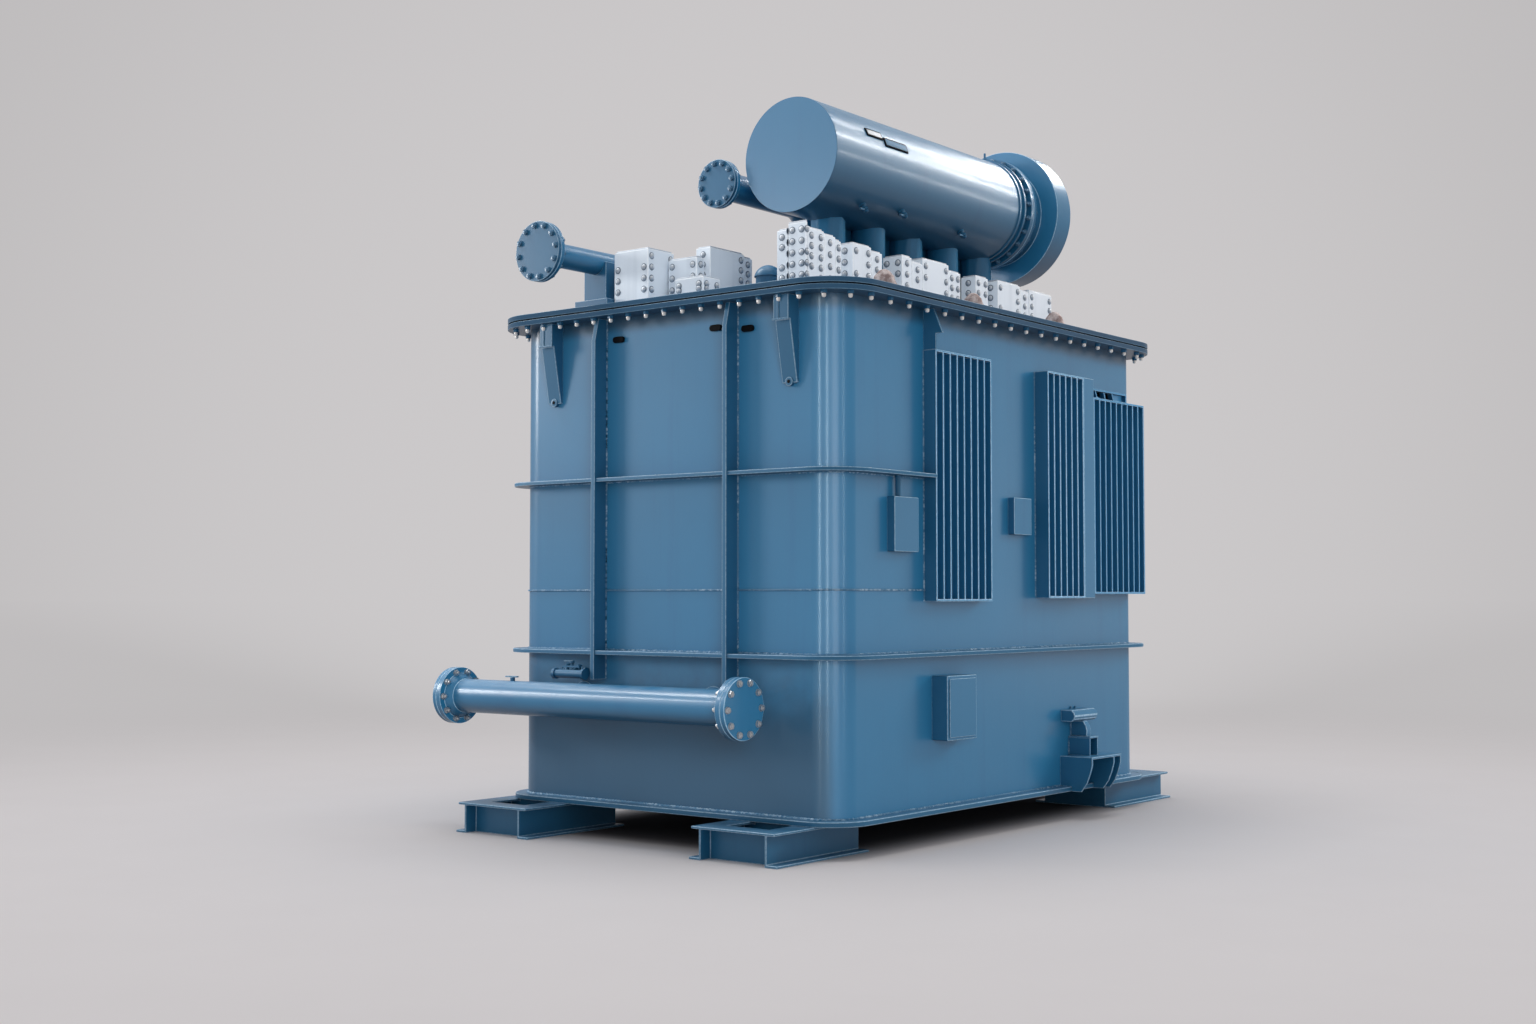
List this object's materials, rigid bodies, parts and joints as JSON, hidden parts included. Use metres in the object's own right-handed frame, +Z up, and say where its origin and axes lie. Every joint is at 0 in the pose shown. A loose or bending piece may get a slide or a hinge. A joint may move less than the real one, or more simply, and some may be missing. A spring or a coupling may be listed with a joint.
{
  "type": "power transformer",
  "caption": "Oil-filled power transformer with a ribbed tank, cooling panels, top conservator, terminal blocks, drain header and skid feet.",
  "frame": {"origin": "on the ground under the middle of the tank", "axes": "+Z up, -Y the front with the drain header, +X the right-hand wall with the boxes"},
  "size_m": [2.431, 3.707, 3.729],
  "materials": {
    "blue_enamel": "satin enamel on welded steel",
    "white_enamel": "pale blue-white enamel",
    "black_rubber": "matt black"
  },
  "bodies": {
    "root": {"base_plate": "blue_enamel", "cable_gland": "blue_enamel", "conduit": "blue_enamel", "conservator_front_end": "blue_enamel", "conservator_neck": "blue_enamel", "conservator_pedestals": "blue_enamel", "conservator_rear_end": "blue_enamel", "conservator_rear_pot": "blue_enamel", "conservator_shell": "blue_enamel", "cooling_panel_left_front": "blue_enamel", "cooling_panel_left_middle": "blue_enamel", "cooling_panel_left_rear": "blue_enamel", "cooling_panel_right_front": "blue_enamel", "cooling_panel_right_middle": "blue_enamel", "cooling_panel_right_rear": "blue_enamel", "cover_gasket": "black_rubber", "cover_plate": "blue_enamel", "drain_valve": "blue_enamel", "drum_gasket": "black_rubber", "front_posts": "blue_enamel", "header_blind_left": "blue_enamel", "header_blind_right": "blue_enamel", "header_pipe": "blue_enamel", "jacking_bracket_left": "blue_enamel", "jacking_bracket_right": "blue_enamel", "lifting_lugs_front": "blue_enamel", "lifting_lugs_rear": "blue_enamel", "louvre_frames": "blue_enamel", "lower_band": "blue_enamel", "lower_box": "blue_enamel", "lower_box_lid": "blue_enamel", "middle_band_front": "blue_enamel", "middle_band_rear": "blue_enamel", "middle_box": "blue_enamel", "oil_pipe": "blue_enamel", "oil_pipe_blind": "blue_enamel", "oil_pipe_saddle": "blue_enamel", "panel_dividers": "blue_enamel", "rear_posts": "blue_enamel", "rim_flange": "blue_enamel", "seam_strip": "blue_enamel", "side_ears": "blue_enamel", "skid_front_left": "blue_enamel", "skid_front_right": "blue_enamel", "skid_rear_left": "blue_enamel", "skid_rear_right": "blue_enamel", "tank_body": "blue_enamel", "terminal_blocks_front": "white_enamel", "terminal_blocks_side": "white_enamel", "upper_box": "blue_enamel", "vent_pipe": "blue_enamel", "vent_pipe_blind": "blue_enamel", "wall_plugs": "black_rubber"}
  },
  "joints": []
}
